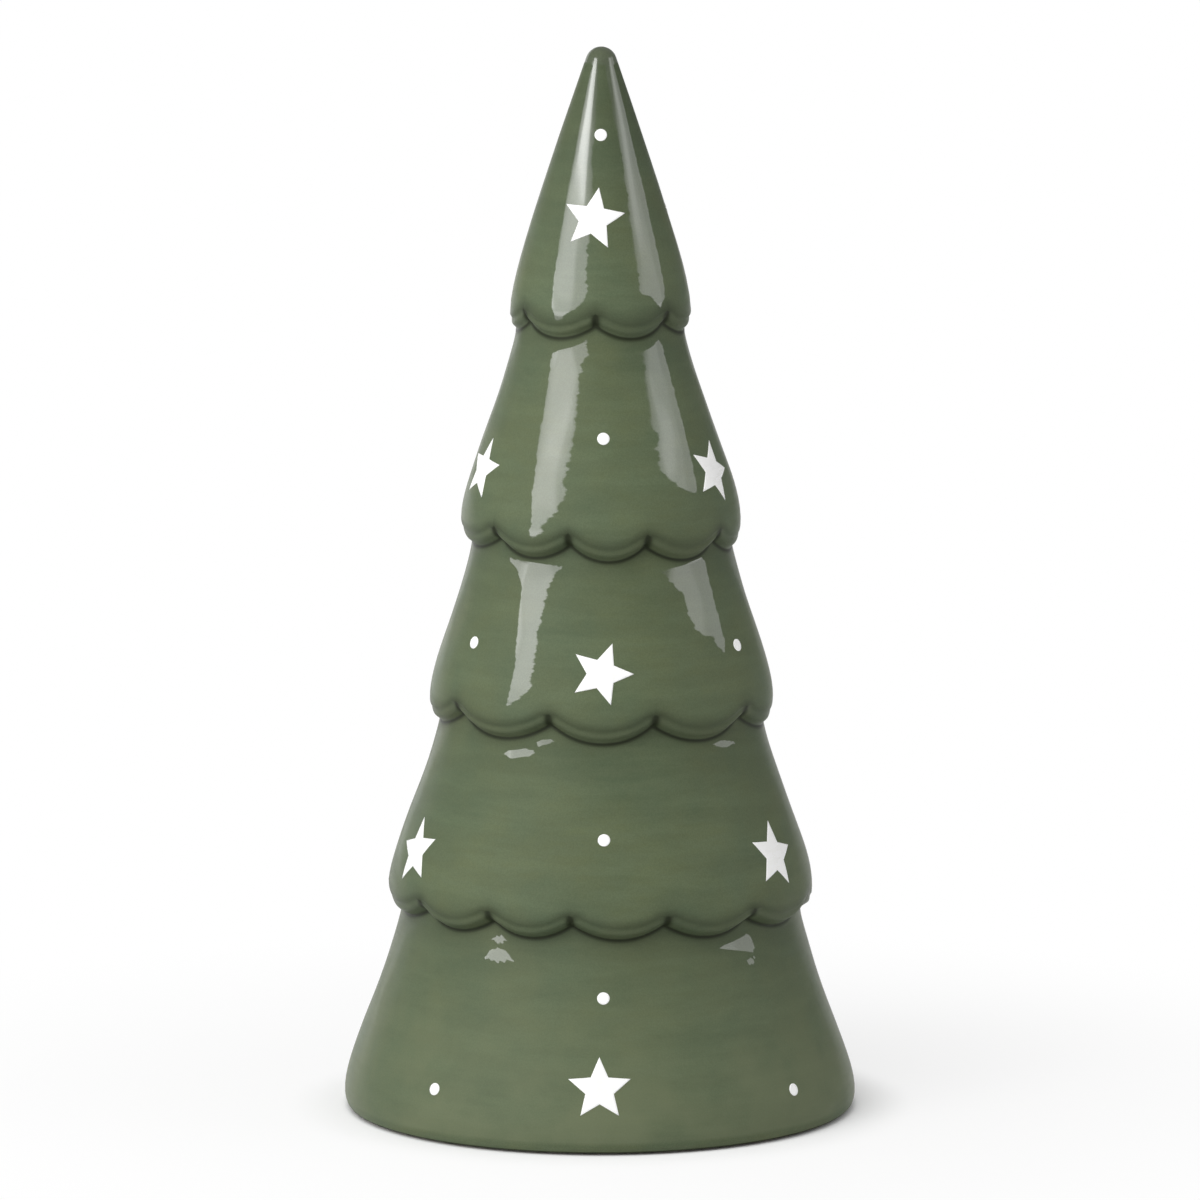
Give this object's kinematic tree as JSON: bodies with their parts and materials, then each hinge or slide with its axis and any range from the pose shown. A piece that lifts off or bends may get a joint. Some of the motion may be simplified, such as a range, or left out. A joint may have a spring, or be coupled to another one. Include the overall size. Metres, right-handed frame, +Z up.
{
  "type": "ceramic christmas tree",
  "caption": "Hollow glazed ceramic tree ornament with scalloped tiers, white star and dot transfers and felt pads under its foot; stands free on a table or shelf.",
  "frame": {"origin": "on the table plane, on the axis under the tip", "axes": "+Z up along the axis to the tip; -Y is the front, where the base tier's first star stands upright"},
  "size_m": [0.1466, 0.1466, 0.305],
  "materials": {
    "green_glaze": "sage green gloss glaze",
    "white_transfer": "white fired-on transfer under gloss",
    "grey_felt": "matte felt"
  },
  "bodies": {
    "root": {"dot_base_high_1": "white_transfer", "dot_base_high_2": "white_transfer", "dot_base_high_3": "white_transfer", "dot_base_low_1": "white_transfer", "dot_base_low_2": "white_transfer", "dot_base_low_3": "white_transfer", "dot_crown_1": "white_transfer", "dot_crown_2": "white_transfer", "dot_crown_3": "white_transfer", "dot_lower_1": "white_transfer", "dot_lower_2": "white_transfer", "dot_lower_3": "white_transfer", "dot_middle_1": "white_transfer", "dot_middle_2": "white_transfer", "dot_middle_3": "white_transfer", "dot_upper_1": "white_transfer", "dot_upper_2": "white_transfer", "dot_upper_3": "white_transfer", "foot_pad_1": "grey_felt", "foot_pad_2": "grey_felt", "foot_pad_3": "grey_felt", "foot_pad_4": "grey_felt", "star_base_1": "white_transfer", "star_base_2": "white_transfer", "star_base_3": "white_transfer", "star_crown_1": "white_transfer", "star_crown_2": "white_transfer", "star_crown_3": "white_transfer", "star_lower_1": "white_transfer", "star_lower_2": "white_transfer", "star_lower_3": "white_transfer", "star_middle_1": "white_transfer", "star_middle_2": "white_transfer", "star_middle_3": "white_transfer", "star_upper_1": "white_transfer", "star_upper_2": "white_transfer", "star_upper_3": "white_transfer", "tree_body": "green_glaze"}
  },
  "joints": []
}
